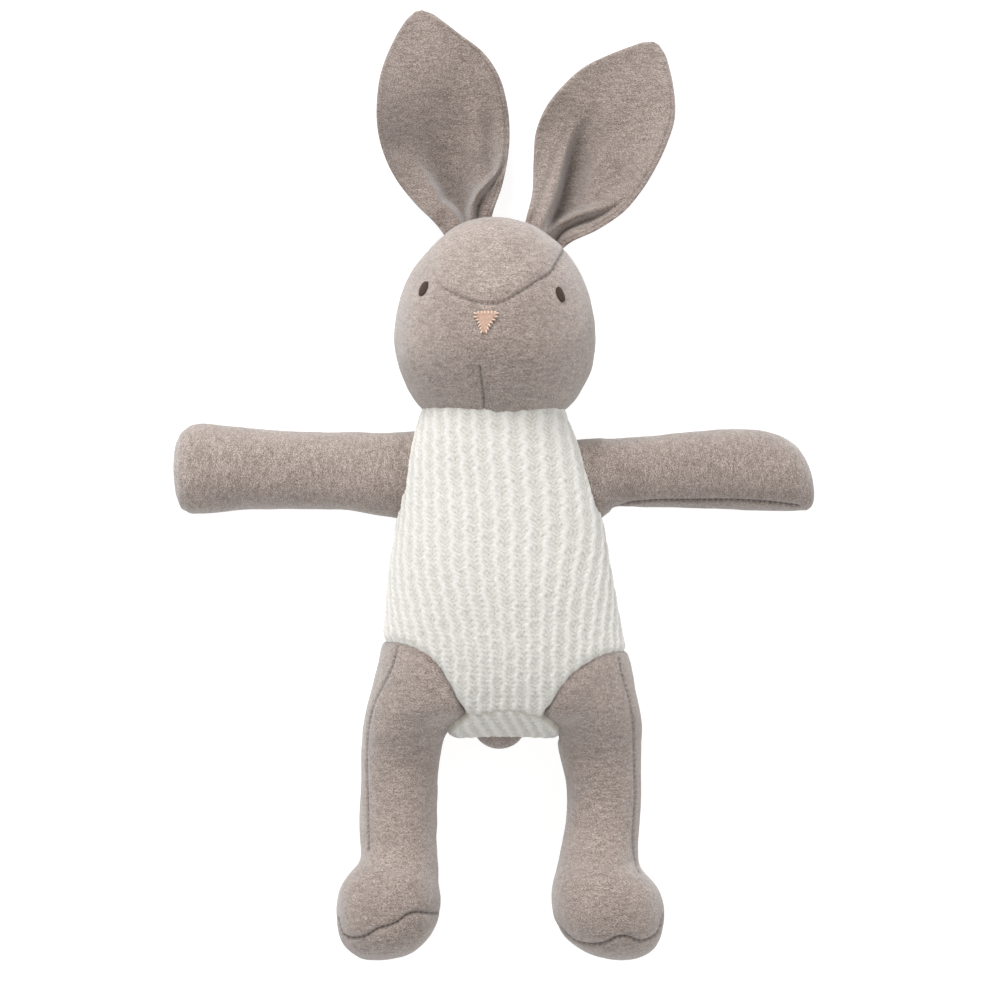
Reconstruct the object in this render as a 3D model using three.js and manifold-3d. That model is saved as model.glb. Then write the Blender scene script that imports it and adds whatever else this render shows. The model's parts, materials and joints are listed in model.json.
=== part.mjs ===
// A stuffed bunny rabbit in a ribbed knit bodysuit, lying on its back with its arms out and toes up.
// Millimetres, +Z up. The head points along +Y and the feet along -Y. The origin is the middle of the
// flat of the back that the toy lies on. The toy's own left side is +X.

import * as THREE from "three";
import { mergeVertices } from "three/addons/utils/BufferGeometryUtils.js";
import Module from "manifold-3d";

const wasm = await Module();
wasm.setup();

// ---------------------------------------------------------------- driving dimensions

const CLOTH = 2; // thickness of the sewn cloth with its seam allowance
const GAP = 0.3; // between neighbouring pieces
const FAR = 400; // reaches past the whole toy, for cutting blocks
const AROUND = 12; // facets round a stuffed form
const ALONG = 8; // rings along a stuffed form

const HEAD = {
  x: -4,
  y: 96,
  z: 37,
  halfWidth: 40.2,
  crownRise: 49,
  chinDrop: 40.2,
  halfDepth: 37,
};
const NECK = { y: 69, z: 32, clearance: 1.2 };
const NOD = THREE.MathUtils.degToRad(20); // how far the neck folds forward

// The forehead panel: a U of cloth set into the face.
const CROWN = { halfWidth: 26, lowestY: 110, cornerRadius: 25 };

const EYE = { x: 26.9, y: 19, halfLength: 3.2, halfWidth: 1.6, thickness: 1.2, lean: 22 };
const NOSE = { x: -3.4, y: 8, halfWidth: 4.7, height: 10.4, thickness: 1.0 };

const EAR = {
  z: 26,
  length: 88,
  cup: 5,
  layer: 2.2,
  // Half widths and heights over the surface from the base to the tip, at equal steps.
  halfWidths: [10.5, 16.5, 21.8, 25.4, 26.4, 25.2, 21.2, 13.6, 1.6],
  heights: [26, 17, 10, 5.6, 3.6, 3.2, 4.8, 8.4, 13],
};
const EAR_LEFT = { x: 18.2, y: 140.6, heading: -30 };
const EAR_RIGHT = { x: -16.1, y: 145.2, heading: 14 };

const SHOULDER = { x: 39, y: 42.5, z: 27, centreX: -2.7, slant: 15, clearance: 0.6 };
const HIP = { x: 35.5, y: -50, z: 28, halfWidth: 20, radius: 27, clearance: 1.4 };
const FOOT = { x: 8.5, y: -82, z: 0, halfWidth: 21.4, halfLength: 19.5, halfHeight: 27.6, tilt: -10 };
const SOLE = { y: -92.5, tilt: 10 };
const TAIL = { x: -1.6, y: -56.6, z: 11, radius: 11, mouth: 6 };

const FLEECE = { color: 0x9f9289, roughness: 0.95, metalness: 0 };
const KNIT = { color: 0xe4e2db, roughness: 0.9, metalness: 0 };
const FELT = { color: 0xe0b8a0, roughness: 0.95, metalness: 0 };
const THREAD = { color: 0x40302a, roughness: 0.6, metalness: 0 };
const FILL = { color: 0xf2f0ea, roughness: 1, metalness: 0 };

const SIDEWAYS = new THREE.Vector3(1, 0, 0);
const HEADWARDS = new THREE.Vector3(0, 1, 0);
const UPWARDS = new THREE.Vector3(0, 0, 1);

// ---------------------------------------------------------------- solids and meshes

// Moves every vertex of a closed geometry by a rule that changes the vector it is given.
function reshape(geometry, rule) {
  const position = geometry.getAttribute("position");
  const point = new THREE.Vector3();
  for (let i = 0; i < position.count; i++) {
    rule(point.fromBufferAttribute(position, i));
    position.setXYZ(i, point.x, point.y, point.z);
  }
  return geometry;
}

// A closed geometry as a solid that can be cut and joined.
function solidOf(geometry) {
  const bare = geometry.clone();
  bare.deleteAttribute("normal");
  bare.deleteAttribute("uv");
  const merged = mergeVertices(bare, 1e-4);
  return new wasm.Manifold(
    new wasm.Mesh({
      numProp: 3,
      vertProperties: merged.getAttribute("position").array,
      triVerts: new Uint32Array(merged.index.array),
    }),
  );
}

// A named mesh of a solid, in its own material.
function meshOf(name, solid, look) {
  const { vertProperties, triVerts } = solid.getMesh();
  const geometry = new THREE.BufferGeometry();
  geometry.setAttribute("position", new THREE.BufferAttribute(vertProperties, 3));
  geometry.setIndex(new THREE.BufferAttribute(triVerts, 1));
  geometry.computeVertexNormals();
  const mesh = new THREE.Mesh(geometry, new THREE.MeshStandardMaterial(look));
  mesh.name = name;
  return mesh;
}

// Everything on the side of a plane that its normal points to.
function halfSpace(point, normal) {
  const block = new THREE.BoxGeometry(FAR, FAR, FAR);
  block.translate(0, 0, FAR / 2);
  const turn = new THREE.Quaternion().setFromUnitVectors(UPWARDS, normal.clone().normalize());
  block.applyQuaternion(turn);
  block.translate(point.x, point.y, point.z);
  return solidOf(block);
}

// Splits a solid at a plane, with a gap at the cut: [the side the normal points to, the other].
function split(solid, point, normal) {
  const shift = normal.clone().normalize().multiplyScalar(GAP / 2);
  const ahead = halfSpace(point.clone().add(shift), normal);
  const behind = halfSpace(point.clone().sub(shift), normal.clone().negate());
  return [solid.intersect(ahead), solid.intersect(behind)];
}

// A stuffed tube round a smooth spine. Each station is the spine's point and the half sizes of the
// section there, measured along `across` and along Z. The ends close over the length of their caps.
function stuffedTube({ stations, across, startCap, endCap, grow = 0 }) {
  const spine = new THREE.CatmullRomCurve3(stations.map((s) => new THREE.Vector3(...s.at)));
  const sizes = new THREE.CatmullRomCurve3(
    stations.map((s) => new THREE.Vector3(s.side + grow, s.rise + grow, 0)),
  );
  const start = spine.getPoint(0);
  const end = spine.getPoint(1);
  const cap = (distance, length) =>
    distance >= length ? 1 : Math.sqrt(1 - (1 - distance / length) ** 2);
  return reshape(new THREE.SphereGeometry(1, AROUND, ALONG), (p) => {
    const share = (1 - p.y) / 2;
    const centre = spine.getPoint(share);
    const size = sizes.getPoint(share);
    const round = Math.min(
      cap(centre.distanceTo(start), startCap),
      cap(centre.distanceTo(end), endCap),
    );
    const turn = Math.atan2(p.z, p.x);
    const atPole = Math.abs(p.y) > 0.9999;
    const reach = atPole ? 0 : round;
    const lengthwise = end.clone().sub(start).normalize();
    p.copy(centre)
      .addScaledVector(lengthwise, (2 * share - 1) * grow)
      .addScaledVector(across, Math.cos(turn) * size.x * reach)
      .addScaledVector(UPWARDS, Math.sin(turn) * size.y * reach);
  });
}

// ---------------------------------------------------------------- head

function headForm(grow) {
  const ball = new THREE.SphereGeometry(1, AROUND + 2, ALONG + 1);
  return solidOf(
    reshape(ball, (p) => {
      const reach = p.y > 0 ? HEAD.crownRise : HEAD.chinDrop;
      p.set(
        HEAD.x + (HEAD.halfWidth + grow) * p.x,
        HEAD.y + (reach + grow) * p.y,
        HEAD.z + (HEAD.halfDepth + grow) * p.z,
      );
    }),
  );
}

// The height of the face above the point (x, y), both from the middle of the head.
function faceHeight(x, y) {
  const reach = y > 0 ? HEAD.crownRise : HEAD.chinDrop;
  return HEAD.halfDepth * Math.sqrt(1 - (x / HEAD.halfWidth) ** 2 - (y / reach) ** 2);
}

// Lays a flat trim piece, drawn in XY and extruded along Z, on the face.
function onFace(geometry, x, y, turn) {
  const z = faceHeight(x, y);
  const reach = y > 0 ? HEAD.crownRise : HEAD.chinDrop;
  const normal = new THREE.Vector3(
    x / HEAD.halfWidth ** 2,
    y / reach ** 2,
    z / HEAD.halfDepth ** 2,
  ).normalize();
  geometry.rotateZ(turn);
  geometry.applyQuaternion(new THREE.Quaternion().setFromUnitVectors(UPWARDS, normal));
  const lift = normal.multiplyScalar(2 * GAP);
  geometry.translate(HEAD.x + x + lift.x, HEAD.y + y + lift.y, HEAD.z + z + lift.z);
  return solidOf(geometry);
}

function crownOutline() {
  const outline = new THREE.Shape();
  const { halfWidth, lowestY, cornerRadius } = CROWN;
  const middleY = lowestY + cornerRadius;
  outline.moveTo(HEAD.x + halfWidth, FAR);
  outline.lineTo(HEAD.x - halfWidth, FAR);
  outline.lineTo(HEAD.x - halfWidth, middleY);
  outline.absellipse(HEAD.x, middleY, halfWidth, cornerRadius, Math.PI, 2 * Math.PI, false, 0);
  return outline;
}

// The U-shaped column that the forehead panel is cut with.
function crownColumn(grow) {
  const column = new THREE.ExtrudeGeometry(crownOutline(), {
    depth: FAR,
    bevelEnabled: false,
    curveSegments: 14,
  });
  column.translate(-HEAD.x, -HEAD.y, HEAD.z);
  const stretch = 1 + grow / CROWN.halfWidth;
  column.scale(stretch, 1, 1);
  column.translate(HEAD.x, HEAD.y - grow, 0);
  return solidOf(column);
}

function noseOutline() {
  const { halfWidth, height } = NOSE;
  const outline = new THREE.Shape();
  outline.moveTo(-halfWidth * 0.8, 0.35 * height);
  outline.lineTo(halfWidth * 0.8, 0.35 * height);
  outline.quadraticCurveTo(halfWidth * 1.1, 0.33 * height, halfWidth * 0.9, 0.12 * height);
  outline.lineTo(halfWidth * 0.15, -0.6 * height);
  outline.quadraticCurveTo(0, -0.68 * height, -halfWidth * 0.15, -0.6 * height);
  outline.lineTo(-halfWidth * 0.9, 0.12 * height);
  outline.quadraticCurveTo(-halfWidth * 1.1, 0.33 * height, -halfWidth * 0.8, 0.35 * height);
  return outline;
}

function makeHead() {
  const group = new THREE.Group();
  const neckPoint = new THREE.Vector3(0, NECK.y + NECK.clearance / 2, 0);
  const aboveNeck = halfSpace(neckPoint, HEADWARDS);
  const cover = headForm(0).subtract(headForm(-CLOTH)).intersect(aboveNeck);
  const middle = new THREE.Vector3(0, 0, HEAD.z);
  const [front, back] = split(cover, middle, UPWARDS);
  group.add(meshOf("head_crown", front.intersect(crownColumn(-GAP / 2)), FLEECE));
  group.add(meshOf("head_face", front.subtract(crownColumn(GAP / 2)), FLEECE));
  group.add(meshOf("head_back", back, FLEECE));
  const fill = headForm(-CLOTH - GAP).intersect(aboveNeck);
  group.add(meshOf("head_stuffing", fill, FILL));

  const eyeShape = new THREE.Shape();
  eyeShape.absellipse(0, 0, EYE.halfWidth, EYE.halfLength, 0, 2 * Math.PI, false, 0);
  for (const side of [1, -1]) {
    const disc = new THREE.ExtrudeGeometry(eyeShape, {
      depth: EYE.thickness,
      bevelEnabled: false,
      curveSegments: 8,
    });
    const lean = THREE.MathUtils.degToRad(side * EYE.lean);
    const name = side > 0 ? "eye_left" : "eye_right";
    group.add(meshOf(name, onFace(disc, side * EYE.x, EYE.y, lean), THREAD));
  }
  const patch = new THREE.ExtrudeGeometry(noseOutline(), {
    depth: NOSE.thickness,
    bevelEnabled: false,
    curveSegments: 3,
  });
  group.add(meshOf("nose_patch", onFace(patch, NOSE.x, NOSE.y, 0), FELT));

  group.add(makeEar("ear_left", EAR_LEFT), makeEar("ear_right", EAR_RIGHT));
  return group;
}

// ---------------------------------------------------------------- ears

// One layer of an ear: a leaf of cloth that droops to the surface and curls up again at its tip, with
// edges that curl up halfway along. The offset is its distance above the middle of the thickness.
function earLayer(offset) {
  const profile = new THREE.CatmullRomCurve3(
    EAR.halfWidths.map((width, i) => new THREE.Vector3(width, i, EAR.heights[i] - EAR.z)),
  );
  const leaf = new THREE.BoxGeometry(2, 2, 2, 6, 12, 1);
  return solidOf(
    reshape(leaf, (p) => {
      const share = (p.y + 1) / 2;
      const across = p.x;
      const layer = offset + (p.z * EAR.layer) / 2;
      const { x: width, z: height } = profile.getPoint(share);
      const curl = EAR.cup * 4 * share * (1 - share) * across ** 2;
      p.set(across * width, EAR.length * share, height + curl + layer);
    }),
  );
}

function makeEar(name, { x, y, heading }) {
  const group = new THREE.Group();
  group.position.set(x, y, EAR.z);
  group.rotation.z = THREE.MathUtils.degToRad(heading);
  const apart = EAR.layer / 2 + 2 * GAP;
  group.add(meshOf(name + "_inner", earLayer(apart), FLEECE));
  group.add(meshOf(name + "_outer", earLayer(-apart), FLEECE));
  return group;
}

// ---------------------------------------------------------------- torso and tail

const TORSO_STATIONS = [
  { at: [-4, 74, 30.5], side: 28.5, rise: 24.5 },
  { at: [-3.6, 55, 29.5], side: 32.5, rise: 27 },
  { at: [-2.2, 30, 29], side: 39, rise: 29.5 },
  { at: [-0.8, 4, 29], side: 44, rise: 31 },
  { at: [0, -22, 29], side: 48, rise: 31.2 },
  { at: [0, -44, 29.5], side: 44, rise: 29 },
  { at: [0, -63, 30], side: 31, rise: 24 },
];

function torsoForm(grow) {
  return solidOf(
    stuffedTube({
      stations: TORSO_STATIONS,
      across: SIDEWAYS,
      startCap: 2,
      endCap: 24,
      grow,
    }),
  );
}

// The hip end of a leg is round about the hip's axis, so that the leg folds inside its opening.
function hipForm(grow) {
  const ball = new THREE.SphereGeometry(1, AROUND, ALONG);
  ball.rotateZ(Math.PI / 2);
  ball.scale(HIP.halfWidth + grow, HIP.radius + grow, HIP.radius + grow);
  return ball;
}

// The leg opening in the torso: the hip ball, and the way up that the folding leg takes.
function legOpening(side) {
  const ball = hipForm(HIP.clearance);
  ball.translate(side * HIP.x, HIP.y, HIP.z);
  const way = new THREE.CylinderGeometry(1, 1, FAR, AROUND);
  way.rotateX(Math.PI / 2);
  way.scale(HIP.halfWidth + HIP.clearance, HIP.radius + HIP.clearance, 1);
  way.translate(side * HIP.x, HIP.y, HIP.z + FAR / 2);
  return solidOf(ball).add(solidOf(way));
}

function tailForm(grow) {
  const ball = new THREE.SphereGeometry(TAIL.radius + grow, 10, 7);
  ball.translate(TAIL.x, TAIL.y, TAIL.z);
  return solidOf(ball);
}

function makeTorso() {
  const group = new THREE.Group();
  const ground = halfSpace(new THREE.Vector3(0, 0, 0), UPWARDS);
  const inside = halfSpace(new THREE.Vector3(0, 0, CLOTH + GAP), UPWARDS);
  const insideCover = halfSpace(new THREE.Vector3(0, 0, CLOTH), UPWARDS);
  const neckPoint = new THREE.Vector3(0, NECK.y - NECK.clearance / 2, NECK.z);
  const belowNeck = halfSpace(neckPoint, HEADWARDS.clone().negate());
  const nodRoom = new THREE.Vector3(0, Math.cos(NOD), Math.sin(NOD));
  const trim = (solid) =>
    solid
      .intersect(belowNeck)
      .subtract(halfSpace(neckPoint, nodRoom))
      .subtract(legOpening(1))
      .subtract(legOpening(-1))
      .subtract(tailForm(2 * GAP));

  const hollow = torsoForm(-CLOTH).intersect(insideCover);
  const cover = trim(torsoForm(0).intersect(ground).subtract(hollow));
  const seam = new THREE.Vector3(0, 0, SHOULDER.z);
  const [front, back] = split(cover, seam, UPWARDS);
  group.add(meshOf("torso_knit_front", front, KNIT));
  group.add(meshOf("torso_knit_back", back, KNIT));
  const fill = trim(torsoForm(-CLOTH - GAP).intersect(inside));
  group.add(meshOf("torso_stuffing", fill, FILL));

  // The tail's cover is open where it is gathered onto the seat.
  const mouth = new THREE.CylinderGeometry(TAIL.mouth, TAIL.mouth, 3 * TAIL.radius, 8);
  mouth.translate(TAIL.x, TAIL.y + 1.5 * TAIL.radius, TAIL.z);
  const tailCover = tailForm(0).subtract(tailForm(-CLOTH)).subtract(solidOf(mouth));
  group.add(meshOf("tail_cover", tailCover, FLEECE));
  group.add(meshOf("tail_stuffing", tailForm(-CLOTH - GAP), FILL));
  return group;
}

// ---------------------------------------------------------------- arms

// From the flat seam at the shoulder out to the blunt hand, from the shoulder's own origin.
const ARM_STATIONS = [
  { at: [-6, 0, 0], side: 17, rise: 1.6 },
  { at: [1, 0, -0.2], side: 16.6, rise: 2 },
  { at: [12, 0.2, -2.4], side: 15.6, rise: 7.5 },
  { at: [30, 1.2, -7.5], side: 15.2, rise: 13.2 },
  { at: [60, 1.8, -10.6], side: 15.8, rise: 15.6 },
  { at: [91, 1.6, -11], side: 16.2, rise: 15.4 },
];

function armForm(stations, startCap, grow) {
  return solidOf(
    stuffedTube({ stations, across: HEADWARDS, startCap, endCap: 13, grow }),
  );
}

function makeArm(name, side) {
  const group = new THREE.Group();
  group.position.set(SHOULDER.centreX + side * SHOULDER.x, SHOULDER.y, SHOULDER.z);
  group.scale.x = side;
  const stuffed = ARM_STATIONS.slice(2); // the seam itself is flat and holds no stuffing
  const slant = THREE.MathUtils.degToRad(SHOULDER.slant);
  const outwards = new THREE.Vector3(Math.cos(slant), Math.sin(slant), 0);
  const beyondSeam = halfSpace(outwards.clone().multiplyScalar(SHOULDER.clearance), outwards);
  const outer = armForm(ARM_STATIONS, 1, 0).intersect(beyondSeam);
  const cover = outer.subtract(armForm(stuffed, 8, -CLOTH));
  const tip = ARM_STATIONS.at(-1).at;
  const slope = new THREE.Vector3(-tip[2], 0, tip[0]);
  const [front, back] = split(cover, new THREE.Vector3(0, 0, 0), slope);
  group.add(meshOf(name + "_front", front, FLEECE));
  group.add(meshOf(name + "_back", back, FLEECE));
  group.add(meshOf(name + "_stuffing", armForm(stuffed, 8, -CLOTH - GAP), FILL));
  return group;
}

// ---------------------------------------------------------------- legs

// From inside the hip ball down to the ankle, from the hip's own origin.
const LEG_STATIONS = [
  { at: [2, -6, -7], side: 17, rise: 17 },
  { at: [4.5, -28, -11.5], side: 15.6, rise: 16 },
  { at: [5.5, -52, -12], side: 15.2, rise: 15.6 },
  { at: [6.5, -80, -12], side: 15.4, rise: 15.6 },
];
const LEG_SEAM_Z = -8; // the side seams run along the leg at this height from the hip

function legForm(grow) {
  const shin = stuffedTube({
    stations: LEG_STATIONS,
    across: SIDEWAYS,
    startCap: 12,
    endCap: 12,
    grow,
  });
  const foot = new THREE.SphereGeometry(1, AROUND, ALONG);
  foot.scale(FOOT.halfWidth + grow, FOOT.halfLength + grow, FOOT.halfHeight + grow);
  foot.rotateX(THREE.MathUtils.degToRad(FOOT.tilt));
  foot.translate(FOOT.x, FOOT.y, FOOT.z);
  return solidOf(hipForm(grow)).add(solidOf(shin)).add(solidOf(foot));
}

function makeLeg(name, side) {
  const group = new THREE.Group();
  group.position.set(side * HIP.x, HIP.y, HIP.z);
  group.scale.x = side;
  const cover = legForm(0).subtract(legForm(-CLOTH));
  const tilt = THREE.MathUtils.degToRad(SOLE.tilt);
  const soleNormal = new THREE.Vector3(0, -Math.cos(tilt), Math.sin(tilt));
  const [sole, upper] = split(cover, new THREE.Vector3(0, SOLE.y, 0), soleNormal);
  const [front, back] = split(upper, new THREE.Vector3(0, 0, LEG_SEAM_Z), UPWARDS);
  group.add(meshOf(name + "_front", front, FLEECE));
  group.add(meshOf(name + "_back", back, FLEECE));
  group.add(meshOf(name + "_sole", sole, FLEECE));
  group.add(meshOf(name + "_stuffing", legForm(-CLOTH - GAP), FILL));
  return group;
}

// ---------------------------------------------------------------- the toy

const bunny = new THREE.Group();
bunny.add(makeTorso(), makeHead());
bunny.add(makeArm("arm_left", 1), makeArm("arm_right", -1));
bunny.add(makeLeg("leg_left", 1), makeLeg("leg_right", -1));

export default bunny;
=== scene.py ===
"""A stuffed bunny rabbit lying on its back: marled fleece, a ribbed knit body and two long ears.

Lengths are in millimetres until a mesh is made. The toy's head points along +Y, its front faces +Z
and its own left side is at +X.
"""

import json
import math

import bmesh
import bpy
import numpy as np
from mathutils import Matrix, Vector


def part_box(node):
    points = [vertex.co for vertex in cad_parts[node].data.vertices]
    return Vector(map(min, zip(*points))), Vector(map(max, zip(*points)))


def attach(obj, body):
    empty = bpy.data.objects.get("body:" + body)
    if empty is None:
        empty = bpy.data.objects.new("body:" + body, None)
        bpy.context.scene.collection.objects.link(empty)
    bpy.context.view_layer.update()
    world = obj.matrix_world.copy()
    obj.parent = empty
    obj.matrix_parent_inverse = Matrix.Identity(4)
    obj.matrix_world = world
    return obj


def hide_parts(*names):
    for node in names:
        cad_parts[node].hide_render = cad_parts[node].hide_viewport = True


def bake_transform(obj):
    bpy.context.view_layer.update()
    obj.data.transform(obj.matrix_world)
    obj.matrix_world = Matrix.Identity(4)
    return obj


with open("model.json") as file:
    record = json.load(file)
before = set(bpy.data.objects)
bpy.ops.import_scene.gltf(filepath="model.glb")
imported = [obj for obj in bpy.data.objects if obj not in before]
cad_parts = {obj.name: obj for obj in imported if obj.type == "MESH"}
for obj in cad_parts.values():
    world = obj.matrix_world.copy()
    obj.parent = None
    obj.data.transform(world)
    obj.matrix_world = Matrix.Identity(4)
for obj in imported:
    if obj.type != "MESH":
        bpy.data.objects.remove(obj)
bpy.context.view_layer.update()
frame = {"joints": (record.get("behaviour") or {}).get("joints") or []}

MM = 0.001
JOINTS = {joint["name"]: joint for joint in frame["joints"]}


def pivot(joint):
    """Where a joint turns, in mm."""
    return np.array(JOINTS[joint]["pos_m"]) / MM


# ---- driving dimensions

# Body form: y, centre x, centre z, half width, half height.
BODY = [
    (78, -3.4, 31, 27.2, 23),
    (66, -3.8, 30.5, 29.6, 26.4),
    (55, -3.4, 29.8, 33.2, 28.5),
    (40, -2.4, 29.6, 37.2, 29.8),
    (24, -1.2, 30, 41, 30.8),
    (4, -1.2, 30.5, 44.6, 31.6),
    (-16, -0.2, 30.5, 47.3, 31.6),
    (-34, 0.6, 30, 50, 30.4),
    (-46, 0.2, 29, 53, 28),
    (-54, -0.2, 28.5, 54.6, 24),
    (-59.4, 0, 28, 53, 17),
    (-62.2, 0, 27.5, 48, 9),
    (-63.2, 0, 27, 40, 1),
]
BODY_FULLNESS = 2.25
# How far the undersides of the body form and the limbs stay above the surface.
BODY_OFF_SURFACE = 0.6
LIMB_OFF_SURFACE = 0.5

# The knit along y: the pitch of its ribs, how much that grows for each mm towards +X and within what
# reach of the first rib, and the pitch of its rows. RIB_LINE is from the front's middle to that rib.
RIB_PITCH = [(78, 6.9), (52, 6.8), (12, 6.45), (-4, 5.8), (-16, 5.35), (-28, 5), (-70, 4.95)]
RIB_SPREAD = [(78, 0.009), (20, 0.008), (-4, 0.003), (-30, 0.0015)]
RIB_SPREAD_REACH = (-15, 45)
RIB_LINE = 5.0
ROW_PITCH = [(78, 1.8), (38, 1.83), (8, 1.95), (-24, 2.05), (-70, 2.1)]
# Each rib is a rope: its half width and how far it waves, as shares of the pitch, and rows to a wave.
ROPE_HALF_WIDTH = 0.26
ROPE_WAVE = 0.07
ROPE_WAVE_ROWS = 3.6
STITCH_SLANT = 0.38
# The mesh: points round each row, and the distance between rows.
KNIT_COLUMNS = 560
KNIT_ROW_STEP = 0.46
# The seam across the crotch as x and y, and how far the ribs slant for each mm under it.
CROTCH_SEAM = [(-60, -58), (-17, -55), (-9, -53.4), (0, -52), (9, -53), (18, -55.5), (60, -58)]
UNDERSIDE_SLANT = 0.55
# Share of its size by which the collar is drawn in under the head.
COLLAR_PULL = 0.14

# Leg openings in the knit: centre x and y, half width, height above the centre, fullness.
OPENING_RIGHT = (-44, -60, 28.5, 35.6, 1.8)
OPENING_LEFT = (46, -60, 29.2, 31.4, 1.75)
OPENING_SIZE = 30
# Below this y an opening's edge turns outwards again, by this much for each mm.
OPENING_TURN = (-56, 0.8)
# Near the crotch a thigh pushes its opening wider: by how much, at what y, and over what length.
THIGH_BULGE = (2.5, -54, 5)

# Head: it rises further above its centre than its half width below it. Its crown leans to +X and its
# chin drops between two places along y, and its back flattens where it lies.
HEAD_CENTRE = (-3.4, 96, 37)
HEAD_HALF_WIDTH = 40.2
HEAD_RISE = 49.0
HEAD_HALF_DEPTH = 37.0
HEAD_LEAN = (0.8, 95, 135)
CHIN_DROP = (6, 96, 66)
HEAD_FLAT = (0.4, 0.35)
# Seams on the head, seen from the front: round the forehead panel, and up the chin.
CROWN_SEAM = [
    (31, 140), (24.8, 132), (21.2, 125.6), (18.8, 121.6), (13.2, 118), (8, 114.4),
    (-2, 109.3), (-7.2, 109), (-13.6, 110.5), (-20, 113.4), (-24.4, 116.4),
    (-27.2, 122), (-30.5, 133),
]
CHIN_SEAM = [(-9.2, 84), (-8.4, 78), (-7.6, 72), (-7.6, 66)]
# Distance along the crown seam, and how deep it is there.
CROWN_SEAM_FADE = [(0, 1), (6, 1), (66, 0.9), (74, 0.2)]
CROWN_MIDDLE = -3.2
CROWN_HALF_WIDTH = 30

# Legs: y, centre z, half height, then centre x and half width of the right leg and of the left one.
LEGS = [
    (-22, 27, 18, -33, 8, 34, 8),
    (-40, 27, 25, -37, 15, 37.5, 15),
    (-55, 24, 22.5, -38.6, 16.8, 38.4, 17.2),
    (-68, 19.8, 18.6, -40.8, 16.2, 38.8, 17),
    (-85, 17.4, 16.8, -41.8, 15.6, 40.8, 15.3),
    (-98, 17.2, 16.6, -42.1, 15.7, 40.3, 15),
    (-106, 18.2, 17.6, -42.1, 15.6, 39.2, 15.6),
    (-113, 20.2, 19.6, -42.2, 15.7, 38.4, 16.5),
    (-119, 22.4, 21.8, -44, 17.8, 39, 17.8),
    (-125, 24.2, 23.2, -45.8, 19.8, 40.8, 20.2),
    (-131, 25, 23.8, -46.4, 20.6, 42.2, 22),
    (-138, 25, 21.6, -46.8, 18.6, 43, 20.2),
    (-144, 25, 15, -48, 12, 44.4, 13.6),
]
LEG_RIGHT = [(y, x, z, side, rise) for y, z, rise, x, side, _, _ in LEGS]
LEG_LEFT = [(y, x, z, side, rise) for y, z, rise, _, _, x, side in LEGS]
# Feet: centre, half sizes, and how much each foot rises towards +X.
FOOT_RIGHT = ((-46.4, -131.2, 25), (21, 21, 23.6), 0.10)
FOOT_LEFT = ((41.8, -131.2, 25), (23, 20.7, 23.6), -0.17)
FOOT_FULLNESS = 2.3
# Between two places along y a leg's section turns into the body form's, taken at THIGH_LOWEST or
# above and within THIGH_REACH of the leg's middle.
THIGH_BLEND = (-61, -50)
THIGH_LOWEST = -58.0
THIGH_REACH = 34.0
# Seams down the outer side of each leg and across each foot, seen from the front.
LEG_SEAM_RIGHT = [
    (-41.6, -26), (-44, -34.4), (-47.2, -40.8), (-51.2, -49.2), (-53.6, -59.2),
    (-54.4, -71.2), (-54, -89.6), (-53.6, -108),
]
LEG_SEAM_LEFT = [
    (46, -31.2), (47.2, -37.2), (50, -46.4), (51.6, -55.6), (52.4, -71.2),
    (52.8, -84.8), (53.2, -113.2), (54.4, -116.8),
]
SOLE_SEAM_RIGHT = [
    (-66.5, -135.4), (-64, -141.6), (-59.6, -142.4), (-54.8, -141.2), (-49.2, -138),
    (-42.8, -136), (-36.4, -132), (-25, -133.2),
]
SOLE_SEAM_LEFT = [
    (64.8, -134), (62, -141), (55.2, -143.6), (48, -141.2), (45.2, -141.6),
    (40.8, -144), (28.8, -144.4), (21, -138),
]

# How far the tail hangs below the middle of its CAD piece, and the gathers round its root.
TAIL_DROP = 1.0
TAIL_GATHERS = 14

# Arms: x of each shoulder, then distance out from it, centre y and z, half width along y, half height.
SHOULDER_LEFT = 36.0
SHOULDER_RIGHT = -40.6
ARM_FULLNESS = 2.15
ARM_LEFT = [
    (-8, 38.6, 27, 17.4, 11),
    (-2, 39.2, 26.8, 17.2, 12.2),
    (2.4, 40.4, 26.2, 16.4, 13),
    (6, 41.7, 25.4, 15, 13.6),
    (11, 42.8, 24.2, 14.1, 14),
    (22, 43.2, 22, 14.3, 14.6),
    (42, 44, 18.6, 15.6, 15.4),
    (60, 44, 17.2, 16.3, 15.8),
    (71, 43.3, 16.8, 15.9, 15.4),
    (79, 41.6, 16.6, 14.3, 14),
    (84, 39.4, 16.6, 11.9, 12),
    (87, 37, 16.6, 8.9, 9),
    (88.8, 35, 16.6, 4.8, 5.4),
    (89.4, 34, 16.6, 2, 2.4),
]
ARM_RIGHT = [
    (-8, 42, 27, 17.6, 11),
    (0, 41.9, 26.6, 17.2, 12.6),
    (8, 42, 25.2, 16.7, 13.6),
    (22, 43.5, 22, 15.7, 14.6),
    (42, 44, 18.6, 15.7, 15.4),
    (62, 44.6, 17.2, 16.6, 15.8),
    (76, 44.5, 16.8, 17.8, 16),
    (82, 44.4, 16.6, 17.9, 15.8),
    (86.6, 44, 16.6, 16.5, 14.4),
    (89.8, 43.8, 16.6, 12.9, 11),
    (91.3, 44.2, 16.6, 7.6, 6.8),
    (91.8, 44.2, 16.6, 3, 2.6),
]
# The seam along each arm's lower edge, seen from the front.
ARM_SEAM_LEFT = [(44, 27.6), (50, 30.2), (57, 31.2), (75, 31.6), (95, 31.6), (111, 30.4), (119, 29.2)]
ARM_SEAM_RIGHT = [(-46, 23.8), (-62, 26.4), (-84, 27), (-104, 26.2), (-122, 25.2)]

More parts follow.
